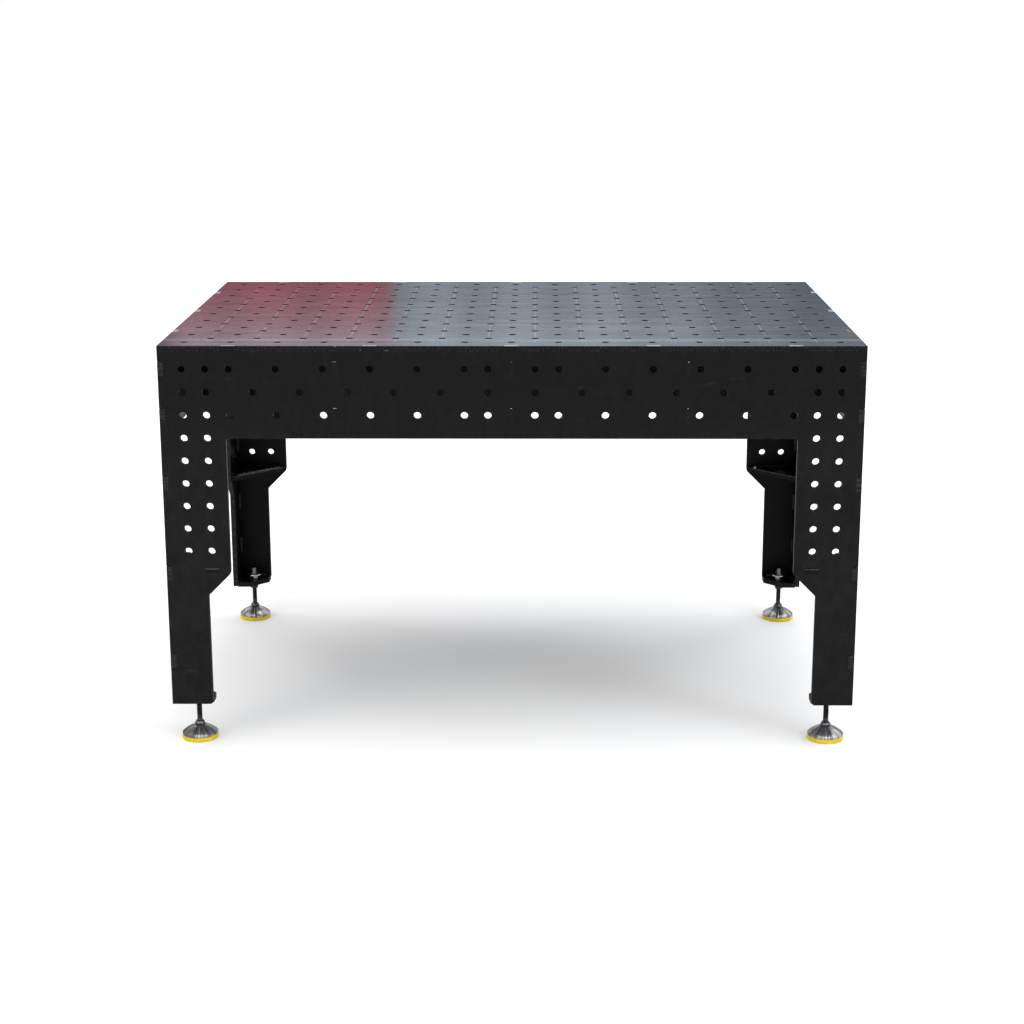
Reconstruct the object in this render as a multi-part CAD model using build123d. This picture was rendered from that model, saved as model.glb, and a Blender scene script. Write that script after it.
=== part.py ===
"""Perforated welding table on four levelling feet, as separate laser-cut plates and turned parts.

Frame: +Z up, X along the length, -Y is the front, origin on the floor under the table's centre.
"""
from build123d import *
import os
from math import cos, hypot, radians, sin, sqrt, tan

# ---- table, millimetres ----
LENGTH = 1500.0            # along X
WIDTH = 1000.0             # along Y
HEIGHT = 895.0             # floor to work surface, feet at their stored setting
PLATE = 12.0               # thickness of every plate
LEG_BOTTOM = 95.0          # underside of the legs above the floor
PITCH = 50.0               # half of the hole grid's spacing
HOLE_RADIUS = 8.0
HOLE_BEVEL = 0.5           # broken edge of each hole on the work surface

# ---- panel outline ----
APRON_DEPTH = 200.0        # work surface to the apron's lower edge
LEG_WIDE = 140.0           # leg width above the taper
LEG_NARROW = 90.0          # leg width below the taper
TAPER_START = 500.0        # depth below the work surface where the leg starts to narrow
APRON_CORNER_RADIUS = 6.0
KNEE_RADIUS = 12.0
TOE_RADIUS = 7.0

# ---- tabs and slots ----
TAB = 30.0                 # length of a locating tab
SLOT_PLAY = 0.5            # a slot's extra length, or extra width round a plate
SLOT_HEADROOM = 1.5        # gap left above a tab that lies in a slot
END_TABS_X = (0.0, 300.0, 600.0)               # tabs of the long panels, from the centre
END_TABS_Y = (0.0, 300.0)                      # tabs of the short panels, from the centre
CORNER_TAB_DEPTHS = (50.0, 150.0, 300.0, 500.0, 700.0)
RIB_TAB_DEPTHS = (50.0, 150.0)

# ---- panel holes, distances from the panel's centre ----
LONG_OUTER_ROWS = (50.0, 100.0, 200.0, 300.0, 400.0, 500.0, 600.0, 650.0, 700.0)
LONG_MIDDLE_ROW = (50.0, 150.0, 250.0, 350.0, 450.0, 550.0, 650.0, 700.0)
SHORT_OUTER_ROWS = (50.0, 150.0, 250.0, 350.0, 400.0, 450.0)
SHORT_MIDDLE_ROW = (0.0, 100.0, 200.0, 300.0, 400.0, 450.0)
LEG_ROW_DEPTHS = tuple(PITCH * row for row in range(4, 10))

# ---- ribs under the top ----
RIB_BOTTOM_DEPTH = 182.0
CROSS_RIBS_X = {"left": -375.0, "centre": 0.0, "right": 375.0}
LONG_RIBS_Y = {"front": -175.0, "rear": 175.0}
RELIEF = 30.0              # square notch that clears a fixture hole over the centre rib

# ---- plates inside each leg ----
GUSSET_TOP_DEPTH = 488.0
GUSSET_REACH = 132.0       # from the leg's outer faces
GUSSET_LIP = 28.0          # where the sloping edge meets the panels
GUSSET_TAB = 100.0         # tab centre from the leg's outer corner
WELD_CUT = 8.0             # corner cut that clears the weld inside the leg
FOOT_PLATE_CUT = 45.0      # from the outer faces to the ends of the sloping edge
FOOT_OFFSET = 50.0         # foot axis from the leg's outer faces
FOOT_HOLE_RADIUS = 6.75

# ---- fasteners, M12 ----
STUD_RADIUS = 5.9          # the thread is a plain cylinder, slimmer than its crests
NUT_BORE_RADIUS = 6.2
NUT_FLATS = 19.0           # across flats
NUT_BEVEL_ANGLE = 30.0     # the cone that turns off the nut's corners, from its end face
NUT_BEVEL_INSET = 0.3      # where that cone starts, in from the flats
COLLAR_NUT_HEX = 10.5      # height of the hexagon below the collar
COLLAR_RADIUS = 17.5
COLLAR_THICKNESS = 3.0
COLLAR_EDGE = 0.6
WASHER_RADIUS = 12.0
WASHER_BORE_RADIUS = 6.5
WASHER_THICKNESS = 2.5
LOCK_NUT_HEIGHT = 10.0

# ---- levelling foot, heights above the floor ----
PAD_RADIUS = 40.3
PAD_HEIGHT = 9.0
PAD_EDGE = 1.2
GROOVE_RADII = (14.0, 25.0)
GROOVE_WIDTH = 3.0
GROOVE_DEPTH = 1.5
BELL_RADIUS = 39.5
BELL_RIM_TOP = 14.0
BELL_TOP = 31.0
BELL_TOP_RADIUS = 12.5
BELL_CROWN = 1.6           # how far the bell's slope swells out of straight
BELL_EDGE = 0.8
BALL_CENTRE = 21.5
BALL_RADIUS = 8.5
SEAT_INNER_RADIUS = 8.8
SEAT_OUTER_RADIUS = 10.6
SOCKET_RADIUS = 10.9
SOCKET_TOP = 27.8          # where the socket's sphere ends and its straight mouth begins
UPPER_SEAT_ANGLES = (56.0, 84.0)     # degrees down from straight up
LOWER_SEAT_ANGLES = (94.0, 180.0)
NECK_RADIUS = 4.5
SHOULDER_BOTTOM = 33.6
SHOULDER_RIM = 1.0
SHOULDER_RADIUS = 11.4
SHOULDER_TOP = 39.5
SHOULDER_TOP_RADIUS = 8.6
FLATS_BOTTOM = 41.0
FLATS_TOP = 50.0
FLATS_ACROSS = 10.0
STUD_TOP = 136.0
STUD_BEVEL = 1.5

TOP_UNDERSIDE = HEIGHT - PLATE
FOOT_PLATE_TOP = LEG_BOTTOM + PLATE
OVERCUT = 1.0              # how far a cutting tool reaches past the solid that it cuts
NEAR = 0.1                 # how close a vertex lies to the corner it is picked for
CORNERS = {
    "front_left": (-1, -1),
    "front_right": (1, -1),
    "rear_left": (-1, 1),
    "rear_right": (1, 1),
}


def both_sides(distances):
    """Every distance on both sides of the centre, each once."""
    return sorted({side * distance for distance in distances for side in (-1, 1)})


def patch(centre_u, low_v, wide, high):
    """A rectangle in a panel's own plane, named by its middle and its lower edge."""
    return Pos(centre_u, low_v + high / 2) * Rectangle(wide, high)


def single(shape):
    """The one solid that a cut has left."""
    solids = shape.solids()
    assert len(solids) == 1, f"{len(solids)} solids where one was meant"
    return solids[0]


# ---- work surface ----
def top_hole_places():
    """A square grid of holes with a second grid in the middles of its squares."""
    columns = int(LENGTH / PITCH)
    rows = int(WIDTH / PITCH)
    for row in range(1, rows):
        for column in range(1, columns):
            if (row + column) % 2 == 0:
                yield column * PITCH - LENGTH / 2, row * PITCH - WIDTH / 2


def make_top_plate():
    outline = Rectangle(LENGTH, WIDTH)
    notch = TAB + SLOT_PLAY
    for side in (-1, 1):
        for x in both_sides(END_TABS_X):
            outline -= Pos(x, side * (WIDTH - PLATE) / 2) * Rectangle(notch, PLATE)
        for y in both_sides(END_TABS_Y):
            outline -= Pos(side * (LENGTH - PLATE) / 2, y) * Rectangle(PLATE, notch)
    places = list(top_hole_places())
    outline -= [Pos(x, y) * Circle(HOLE_RADIUS) for x, y in places]
    plate = extrude(Pos(0, 0, TOP_UNDERSIDE) * outline, PLATE)
    mouths = plate.edges().filter_by(GeomType.CIRCLE).group_by(Axis.Z)[-1]
    return single(chamfer(mouths, HOLE_BEVEL))


# ---- upright panels ----
def panel_outline(width):
    """Apron with a leg at each end, as a face with its middle at zero and heights from the floor."""
    half = width / 2
    apron_edge = HEIGHT - APRON_DEPTH
    taper_top = HEIGHT - TAPER_START
    taper_bottom = taper_top - (LEG_WIDE - LEG_NARROW)
    left = [
        (-half, TOP_UNDERSIDE),
        (-half, LEG_BOTTOM),
        (-half + LEG_NARROW, LEG_BOTTOM),
        (-half + LEG_NARROW, taper_bottom),
        (-half + LEG_WIDE, taper_top),
        (-half + LEG_WIDE, apron_edge),
    ]
    right = [(-u, v) for u, v in reversed(left)]
    face = make_face(Polyline(*left, *right, close=True))
    rounded = (
        (LEG_WIDE, apron_edge, APRON_CORNER_RADIUS),
        (LEG_WIDE, taper_top, KNEE_RADIUS),
        (LEG_NARROW, LEG_BOTTOM, TOE_RADIUS),
    )
    for inset, height, radius in rounded:
        corners = [
            vertex
            for vertex in face.vertices()
            if hypot(abs(vertex.X) - (half - inset), vertex.Y - height) < NEAR
        ]
        face = fillet(corners, radius)
    return face


def cut_panel_holes(face, width, outer_rows, middle_row):
    places = []
    for depth, row in ((PITCH, outer_rows), (2 * PITCH, middle_row), (3 * PITCH, outer_rows)):
        places += [(u, HEIGHT - depth) for u in both_sides(row)]
    leg_columns = both_sides((width / 2 - PITCH, width / 2 - 2 * PITCH))
    places += [(u, HEIGHT - depth) for depth in LEG_ROW_DEPTHS for u in leg_columns]
    return face - [Pos(u, v) * Circle(HOLE_RADIUS) for u, v in places]


def cut_inner_slots(face, width, rib_places):
    """Slots for the rib tabs and for one gusset tab in each leg."""
    cuts = [
        patch(u, HEIGHT - depth - TAB / 2, PLATE + SLOT_PLAY, TAB + SLOT_HEADROOM)
        for u in rib_places
        for depth in RIB_TAB_DEPTHS
    ]
    gusset_bottom = HEIGHT - GUSSET_TOP_DEPTH - PLATE
    cuts += [
        patch(side * (width / 2 - GUSSET_TAB), gusset_bottom, TAB + SLOT_PLAY, PLATE + SLOT_HEADROOM)
        for side in (-1, 1)
    ]
    return face - cuts


def top_tabs(places):
    return [patch(u, TOP_UNDERSIDE, TAB, PLATE) for u in both_sides(places)]


def long_panel_face():
    """Front or rear panel: its upright edges are notched for the short panels' tabs."""
    face = panel_outline(LENGTH)
    face -= [
        patch(side * (LENGTH - PLATE) / 2, HEIGHT - depth - TAB / 2, PLATE, TAB + SLOT_HEADROOM)
        for side in (-1, 1)
        for depth in CORNER_TAB_DEPTHS
    ]
    face = cut_panel_holes(face, LENGTH, LONG_OUTER_ROWS, LONG_MIDDLE_ROW)
    face = cut_inner_slots(face, LENGTH, CROSS_RIBS_X.values())
    return face + top_tabs(END_TABS_X)


def short_panel_face():
    """Left or right panel: it fits between the long panels and its tabs pass through them."""
    face = panel_outline(WIDTH)
    for side in (-1, 1):
        edge = side * (WIDTH - PLATE) / 2
        face -= patch(edge, LEG_BOTTOM, PLATE, TOP_UNDERSIDE - LEG_BOTTOM)
        face += [patch(edge, HEIGHT - depth - TAB / 2, PLATE, TAB) for depth in CORNER_TAB_DEPTHS]
    face = cut_panel_holes(face, WIDTH, SHORT_OUTER_ROWS, SHORT_MIDDLE_ROW)
    face = cut_inner_slots(face, WIDTH, LONG_RIBS_Y.values())
    return face + top_tabs(END_TABS_Y)


def make_panels():
    long_face = long_panel_face()
    short_face = short_panel_face()
    inner_y = WIDTH / 2 - PLATE
    inner_x = LENGTH / 2 - PLATE
    return {
        "front_panel": single(extrude(Plane.XZ.offset(inner_y) * long_face, PLATE)),
        "rear_panel": single(extrude(Plane.XZ.offset(-inner_y - PLATE) * long_face, PLATE)),
        "left_panel": single(extrude(Plane.YZ.offset(-inner_x - PLATE) * short_face, PLATE)),
        "right_panel": single(extrude(Plane.YZ.offset(inner_x) * short_face, PLATE)),
    }


# ---- ribs ----
def rib_face(clear_length, overall_length):
    """A rib between two panels, with the tabs that reach through them."""
    bottom = HEIGHT - RIB_BOTTOM_DEPTH
    face = patch(0, bottom, clear_length, TOP_UNDERSIDE - bottom)
    return face + [patch(0, HEIGHT - depth - TAB / 2, overall_length, TAB) for depth in RIB_TAB_DEPTHS]


def make_ribs():
    """An egg-crate: cross ribs are slotted from below and long ribs from above."""
    bottom = HEIGHT - RIB_BOTTOM_DEPTH
    lap = (TOP_UNDERSIDE - bottom) / 2
    slot = PLATE + SLOT_PLAY
    cross = rib_face(WIDTH - 2 * PLATE, WIDTH)
    cross -= [patch(y, bottom, slot, lap) for y in LONG_RIBS_Y.values()]
    along = rib_face(LENGTH - 2 * PLATE, LENGTH)
    along -= [patch(x, bottom + lap, slot, lap) for x in CROSS_RIBS_X.values()]
    relieved = [y for x, y in top_hole_places() if x == CROSS_RIBS_X["centre"]]
    ribs = {}
    for name, x in CROSS_RIBS_X.items():
        face = cross
        if name == "centre":
            face = cross - [patch(y, TOP_UNDERSIDE - RELIEF, RELIEF, RELIEF) for y in relieved]
        ribs[f"{name}_cross_rib"] = single(extrude(Plane.YZ.offset(x - PLATE / 2) * face, PLATE))
    for name, y in LONG_RIBS_Y.items():
        ribs[f"{name}_long_rib"] = single(extrude(Plane.XZ.offset(-y - PLATE / 2) * along, PLATE))
    return ribs


# ---- plates inside a leg ----
def leg_plate(points, underside, corner):
    """A flat plate whose points are distances from the leg's two outer faces."""
    side_x, side_y = corner
    placed = [(side_x * (LENGTH / 2 - u), side_y * (WIDTH / 2 - v)) for u, v in points]
    face = make_face(Polyline(*placed, close=True))
    return extrude(Pos(0, 0, underside) * face, PLATE, dir=(0, 0, 1))


def make_gusset(corner):
    tab_near = GUSSET_TAB - TAB / 2
    tab_far = GUSSET_TAB + TAB / 2
    one_side = [
        (PLATE + WELD_CUT, PLATE),
        (tab_near, PLATE),
        (tab_near, 0),
        (tab_far, 0),
        (tab_far, PLATE),
        (GUSSET_REACH, PLATE),
        (GUSSET_REACH, GUSSET_LIP),
    ]
    points = one_side + [(v, u) for u, v in reversed(one_side)]
    return single(leg_plate(points, HEIGHT - GUSSET_TOP_DEPTH - PLATE, corner))


def make_foot_plate(corner):
    one_side = [(PLATE + WELD_CUT, PLATE), (LEG_NARROW, PLATE), (LEG_NARROW, FOOT_PLATE_CUT)]
    points = one_side + [(v, u) for u, v in reversed(one_side)]
    plate = leg_plate(points, LEG_BOTTOM, corner)
    hole = Pos(*foot_axis(corner), LEG_BOTTOM + PLATE / 2) * Cylinder(FOOT_HOLE_RADIUS, 2 * PLATE)
    return single(plate - hole)


def foot_axis(corner):
    side_x, side_y = corner
    return side_x * (LENGTH / 2 - FOOT_OFFSET), side_y * (WIDTH / 2 - FOOT_OFFSET)


# ---- nuts and washer, on the foot's own axis ----
def hex_body(bottom, height, bevel_bottom=False, bevel_top=False):
    """A hexagon whose corners are turned off by a cone at the ends that are asked for."""
    corner_radius = NUT_FLATS / sqrt(3)
    hexagon = extrude(Pos(0, 0, bottom) * RegularPolygon(corner_radius, 6), height)
    start = NUT_FLATS / 2 - NUT_BEVEL_INSET
    end = corner_radius + OVERCUT
    drop = (end - start) * tan(radians(NUT_BEVEL_ANGLE))
    for wanted, face, inward in ((bevel_bottom, bottom, 1), (bevel_top, bottom + height, -1)):
        if wanted:
            rim = Polyline((start, 0, face), (end, 0, face + inward * drop), (end, 0, face), close=True)
            hexagon -= revolve(make_face(rim), Axis.Z)
    return hexagon


def bore(radius, bottom, top):
    return Pos(0, 0, (top + bottom) / 2) * Cylinder(radius, top - bottom + 2 * OVERCUT)


def make_collar_nut():
    collar_bottom = FOOT_PLATE_TOP + COLLAR_NUT_HEX
    top = collar_bottom + COLLAR_THICKNESS
    collar = Pos(0, 0, collar_bottom + COLLAR_THICKNESS / 2) * Cylinder(COLLAR_RADIUS, COLLAR_THICKNESS)
    collar = chamfer(collar.edges().filter_by(GeomType.CIRCLE), COLLAR_EDGE)
    nut = hex_body(FOOT_PLATE_TOP, COLLAR_NUT_HEX) + collar
    return single(nut - bore(NUT_BORE_RADIUS, FOOT_PLATE_TOP, top))


def make_lock_washer():
    bottom = LEG_BOTTOM - WASHER_THICKNESS
    disc = Pos(0, 0, bottom + WASHER_THICKNESS / 2) * Cylinder(WASHER_RADIUS, WASHER_THICKNESS)
    return single(disc - bore(WASHER_BORE_RADIUS, bottom, LEG_BOTTOM))


def make_lock_nut():
    top = LEG_BOTTOM - WASHER_THICKNESS
    bottom = top - LOCK_NUT_HEIGHT
    nut = hex_body(bottom, LOCK_NUT_HEIGHT, bevel_bottom=True, bevel_top=True)
    return single(nut - bore(NUT_BORE_RADIUS, bottom, top))


# ---- levelling foot, on its own axis ----
def turned(outline):
    """A solid of revolution from an outline of radii and heights."""
    return single(revolve(make_face(outline), Axis.Z))


def on_ball(radius, angle):
    """A point in the XZ plane at an angle down from straight above the ball's centre."""
    return radius * sin(radians(angle)), 0, BALL_CENTRE + radius * cos(radians(angle))


def make_seat(angles):
    """A shell between the ball and the bell's socket, as wide as its two angles say."""
    start, end = angles
    middle = (start + end) / 2
    outer = [on_ball(SEAT_OUTER_RADIUS, angle) for angle in (start, middle, end)]
    inner = [on_ball(SEAT_INNER_RADIUS, angle) for angle in (end, middle, start)]
    outline = [
        ThreePointArc(*outer),
        Line(outer[-1], inner[0]),
        ThreePointArc(*inner),
        Line(inner[-1], outer[0]),
    ]
    return turned(outline)


def make_stud():
    neck_rise = sqrt(BALL_RADIUS**2 - NECK_RADIUS**2)
    outline = [
        ThreePointArc(
            (0, 0, BALL_CENTRE - BALL_RADIUS),
            (BALL_RADIUS, 0, BALL_CENTRE),
            (NECK_RADIUS, 0, BALL_CENTRE + neck_rise),
        ),
        Polyline(
            (NECK_RADIUS, 0, BALL_CENTRE + neck_rise),
            (NECK_RADIUS, 0, SHOULDER_BOTTOM),
            (SHOULDER_RADIUS, 0, SHOULDER_BOTTOM),
            (SHOULDER_RADIUS, 0, SHOULDER_BOTTOM + SHOULDER_RIM),
            (SHOULDER_TOP_RADIUS, 0, SHOULDER_TOP),
            (STUD_RADIUS, 0, SHOULDER_TOP),
            (STUD_RADIUS, 0, STUD_TOP - STUD_BEVEL),
            (STUD_RADIUS - STUD_BEVEL, 0, STUD_TOP),
            (0, 0, STUD_TOP),
            (0, 0, BALL_CENTRE - BALL_RADIUS),
        ),
    ]
    stud = turned(outline)
    flat = Box(2 * STUD_RADIUS, STUD_RADIUS, FLATS_TOP - FLATS_BOTTOM)
    for side in (-1, 1):
        offset = side * (FLATS_ACROSS + STUD_RADIUS) / 2
        stud -= Pos(0, offset, (FLATS_TOP + FLATS_BOTTOM) / 2) * flat
    return single(stud)


def make_bell():
    """Polished cone with a ball socket whose rim is rolled in over the upper seat."""
    mouth_radius = sqrt(SOCKET_RADIUS**2 - (SOCKET_TOP - BALL_CENTRE) ** 2)
    slope = (BELL_RADIUS - BELL_TOP_RADIUS, BELL_TOP - BELL_EDGE - BELL_RIM_TOP)
    slope_length = hypot(*slope)
    swell = (
        (BELL_RADIUS + BELL_TOP_RADIUS) / 2 + BELL_CROWN * slope[1] / slope_length,
        0,
        (BELL_RIM_TOP + BELL_TOP - BELL_EDGE) / 2 + BELL_CROWN * slope[0] / slope_length,
    )
    outline = [
        Polyline(
            (0, 0, BALL_CENTRE - SOCKET_RADIUS),
            (0, 0, PAD_HEIGHT),
            (BELL_RADIUS - BELL_EDGE, 0, PAD_HEIGHT),
            (BELL_RADIUS, 0, PAD_HEIGHT + BELL_EDGE),
            (BELL_RADIUS, 0, BELL_RIM_TOP),
        ),
        ThreePointArc((BELL_RADIUS, 0, BELL_RIM_TOP), swell, (BELL_TOP_RADIUS, 0, BELL_TOP - BELL_EDGE)),
        Polyline(
            (BELL_TOP_RADIUS, 0, BELL_TOP - BELL_EDGE),
            (BELL_TOP_RADIUS - BELL_EDGE, 0, BELL_TOP),
            (mouth_radius, 0, BELL_TOP),
            (mouth_radius, 0, SOCKET_TOP),
        ),
        ThreePointArc(
            (mouth_radius, 0, SOCKET_TOP),
            (SOCKET_RADIUS, 0, BALL_CENTRE),
            (0, 0, BALL_CENTRE - SOCKET_RADIUS),
        ),
    ]
    return turned(outline)


def make_pad():
    """Elastic pad with two ring grooves in its sole."""
    pad = Pos(0, 0, PAD_HEIGHT / 2) * Cylinder(PAD_RADIUS, PAD_HEIGHT)
    pad = chamfer(pad.edges().filter_by(GeomType.CIRCLE), PAD_EDGE)
    for radius in GROOVE_RADII:
        ring = Circle(radius + GROOVE_WIDTH / 2) - Circle(radius - GROOVE_WIDTH / 2)
        pad -= extrude(ring, GROOVE_DEPTH)
    return single(pad)


def make_feet():
    turned_parts = {
        "collar_nut": make_collar_nut(),
        "lock_washer": make_lock_washer(),
        "lock_nut": make_lock_nut(),
        "levelling_stud": make_stud(),
        "upper_ball_seat": make_seat(UPPER_SEAT_ANGLES),
        "lower_ball_seat": make_seat(LOWER_SEAT_ANGLES),
        "foot_bell": make_bell(),
        "foot_pad": make_pad(),
    }
    feet = {}
    for corner_name, corner in CORNERS.items():
        x, y = foot_axis(corner)
        for part_name, part in turned_parts.items():
            feet[f"{corner_name}_{part_name}"] = Pos(x, y, 0) * part
        feet[f"{corner_name}_gusset"] = make_gusset(corner)
        feet[f"{corner_name}_foot_plate"] = make_foot_plate(corner)
    return feet


def main():
    os.makedirs("parts", exist_ok=True)
    nodes = {"top_plate": make_top_plate(), **make_panels(), **make_ribs(), **make_feet()}
    for name, solid in nodes.items():
        export_step(solid, f"parts/{name}.step")
    print(f"{len(nodes)} parts written")


main()
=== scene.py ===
"""Looks of a perforated welding table: blackened plates, stitch welds and polished levelling feet."""

import math

import bpy
from mathutils import Matrix, Vector, noise


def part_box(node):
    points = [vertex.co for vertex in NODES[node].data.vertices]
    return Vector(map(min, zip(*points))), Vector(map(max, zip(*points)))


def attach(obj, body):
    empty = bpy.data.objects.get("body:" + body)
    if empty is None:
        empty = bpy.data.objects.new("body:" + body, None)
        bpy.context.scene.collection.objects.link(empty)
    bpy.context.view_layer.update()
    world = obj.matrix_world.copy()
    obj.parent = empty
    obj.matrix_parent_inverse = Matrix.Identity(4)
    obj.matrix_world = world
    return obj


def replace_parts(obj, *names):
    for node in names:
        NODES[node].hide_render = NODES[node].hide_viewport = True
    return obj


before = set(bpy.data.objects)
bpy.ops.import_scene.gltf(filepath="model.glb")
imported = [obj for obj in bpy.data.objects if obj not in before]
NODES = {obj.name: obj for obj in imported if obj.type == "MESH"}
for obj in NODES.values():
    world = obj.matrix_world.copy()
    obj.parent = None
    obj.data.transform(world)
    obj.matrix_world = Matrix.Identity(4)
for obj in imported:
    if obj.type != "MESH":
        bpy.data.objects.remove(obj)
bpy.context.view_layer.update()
CORNERS = {
    "front_left": (-1, -1),
    "front_right": (1, -1),
    "rear_left": (-1, 1),
    "rear_right": (1, 1),
}
MM = 0.001

# ---- places that every piece is worked out from, read from the frame ----
TOP_LOW, TOP_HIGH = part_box("top_plate")
HEIGHT = TOP_HIGH.z
PLATE = TOP_HIGH.z - TOP_LOW.z
HALF_LENGTH = TOP_HIGH.x
HALF_WIDTH = TOP_HIGH.y
INNER_X = HALF_LENGTH - PLATE
INNER_Y = HALF_WIDTH - PLATE
LEG_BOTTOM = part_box("front_panel")[0].z
RIB_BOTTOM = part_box("centre_cross_rib")[0].z
CROSS_RIBS = ("left_cross_rib", "centre_cross_rib", "right_cross_rib")
LONG_RIBS = ("front_long_rib", "rear_long_rib")
HOLE_PITCH = 50 * MM
GUSSET_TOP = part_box("front_left_gusset")[1].z
PLATE_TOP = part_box("front_left_foot_plate")[1].z
STUD_LOW, STUD_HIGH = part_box("front_right_levelling_stud")
FOOT_X = (STUD_LOW.x + STUD_HIGH.x) / 2
FOOT_Y = -(STUD_LOW.y + STUD_HIGH.y) / 2
BELL_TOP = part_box("front_left_foot_bell")[1].z
SHOULDER_TOP = 39.5 * MM
BALL_CENTRE = 21.5 * MM
SOCKET_RADIUS = 10.9 * MM
SOCKET_TOP = 27.8 * MM
GUSSET_REACH = 132 * MM       # from the leg's outer faces to the ends of the gusset's sloping edge
GUSSET_LIP = 28 * MM


# ======== node trees ========
class Nodes:
    """One material's node tree. Each method adds a node and gives back the socket to link on."""

    def __init__(self, name):
        self.material = bpy.data.materials.new(name)
        self.material.use_nodes = True
        self.tree = self.material.node_tree
        self.tree.nodes.clear()
        self.shader = self.tree.nodes.new("ShaderNodeBsdfPrincipled")
        output = self.tree.nodes.new("ShaderNodeOutputMaterial")
        self.tree.links.new(self.shader.outputs[0], output.inputs["Surface"])
        coordinates = self.tree.nodes.new("ShaderNodeTexCoord")
        self.place = coordinates.outputs["Object"]
        self.normal = coordinates.outputs["Normal"]

    def feed(self, socket, value):
        if isinstance(value, bpy.types.NodeSocket):
            self.tree.links.new(value, socket)
        elif isinstance(value, tuple) and len(value) == 3 and socket.type == "RGBA":
            socket.default_value = (*value, 1)
        else:
            socket.default_value = value

    def set(self, **inputs):
        """Fills the shader's own sockets: base_color becomes Base Color."""
        for name, value in inputs.items():
            wanted = name.replace("_", " ").lower()
            socket = next(s for s in self.shader.inputs if s.name.lower() == wanted)
            self.feed(socket, value)

    def math(self, operation, first, second=0.0):
        node = self.tree.nodes.new("ShaderNodeMath")
        node.operation = operation
        for socket, value in zip(node.inputs, (first, second)):
            self.feed(socket, value)
        return node.outputs[0]

    def times(self, first, second):
        return self.math("MULTIPLY", first, second)

    def plus(self, first, second):
        return self.math("ADD", first, second)

    def away(self, index, axis=0.0):
        """How far the coordinate's size lies from that of an axis."""
        return self.math("SUBTRACT", self.math("ABSOLUTE", self.axis(self.place, index)), axis)

    def axis(self, vector, index):
        node = self.tree.nodes.new("ShaderNodeSeparateXYZ")
        self.feed(node.inputs[0], vector)
        return node.outputs[index]

    def scaled(self, vector, factors):
        node = self.tree.nodes.new("ShaderNodeVectorMath")
        node.operation = "MULTIPLY"
        self.feed(node.inputs[0], vector)
        node.inputs[1].default_value = factors
        return node.outputs[0]

    def noise(self, factors, detail=4.0, rough=0.5, warp=0.0):
        """Noise with its own scale, in features per metre, along each axis."""
        node = self.tree.nodes.new("ShaderNodeTexNoise")
        self.feed(node.inputs["Vector"], self.scaled(self.place, factors))
        node.inputs["Scale"].default_value = 1.0
        node.inputs["Detail"].default_value = detail
        node.inputs["Roughness"].default_value = rough
        node.inputs["Distortion"].default_value = warp
        return node.outputs[0]

    def spokes(self, axis_x, axis_y, count):
        """Noise that changes only round upright axes at (+-axis_x, +-axis_y)."""
        from_axis = self.tree.nodes.new("ShaderNodeCombineXYZ")
        for index, axis in enumerate((axis_x, axis_y)):
            self.feed(from_axis.inputs[index], self.away(index, axis))
        outward = self.tree.nodes.new("ShaderNodeVectorMath")
        outward.operation = "NORMALIZE"
        self.feed(outward.inputs[0], from_axis.outputs[0])
        node = self.tree.nodes.new("ShaderNodeTexNoise")
        self.feed(node.inputs["Vector"], self.scaled(outward.outputs[0], (count / 6, count / 6, 1.0)))
        node.inputs["Scale"].default_value = 1.0
        node.inputs["Detail"].default_value = 3.0
        return node.outputs[0]

    def within(self, index, limit):
        """1 where the coordinate is nearer to the middle than the limit."""
        return self.step(self.away(index), limit + 1 * MM, limit + 0.5 * MM)

    def step(self, value, start, end):
        """0 below start and 1 above end, or the other way round where start is the larger."""
        node = self.tree.nodes.new("ShaderNodeMapRange")
        node.interpolation_type = "SMOOTHSTEP"
        low, high = min(start, end), max(start, end)
        self.feed(node.inputs["Value"], value)
        node.inputs["From Min"].default_value = low
        node.inputs["From Max"].default_value = high
        node.inputs["To Min"].default_value = 0.0 if start < end else 1.0
        node.inputs["To Max"].default_value = 1.0 if start < end else 0.0
        return node.outputs[0]

    def blend(self, factor, first, second):
        """A value between two values."""
        node = self.tree.nodes.new("ShaderNodeMix")
        self.feed(node.inputs["Factor"], factor)
        self.feed(node.inputs[2], first)
        self.feed(node.inputs[3], second)
        return node.outputs[0]

    def tint(self, factor, first, second):
        """A colour between two colours."""
        node = self.tree.nodes.new("ShaderNodeMix")
        node.data_type = "RGBA"
        self.feed(node.inputs["Factor"], factor)
        self.feed(node.inputs[6], first)
        self.feed(node.inputs[7], second)
        return node.outputs[2]

    def bump(self, height, distance, onto=None):
        node = self.tree.nodes.new("ShaderNodeBump")
        node.inputs["Strength"].default_value = 1.0
        node.inputs["Distance"].default_value = distance
        self.feed(node.inputs["Height"], height)
        if onto is not None:
            self.feed(node.inputs["Normal"], onto)
        return node.outputs[0]

    def edges(self, radius):
        """1 along the piece's sharp edges, within that radius."""
        bevel = self.tree.nodes.new("ShaderNodeBevel")
        bevel.samples = 4
        bevel.inputs["Radius"].default_value = radius
        geometry = self.tree.nodes.new("ShaderNodeNewGeometry")
        product = self.tree.nodes.new("ShaderNodeVectorMath")
        product.operation = "DOT_PRODUCT"
        self.feed(product.inputs[0], bevel.outputs[0])
        self.feed(product.inputs[1], geometry.outputs["Normal"])
        return self.step(product.outputs["Value"], 0.995, 0.86)


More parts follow.
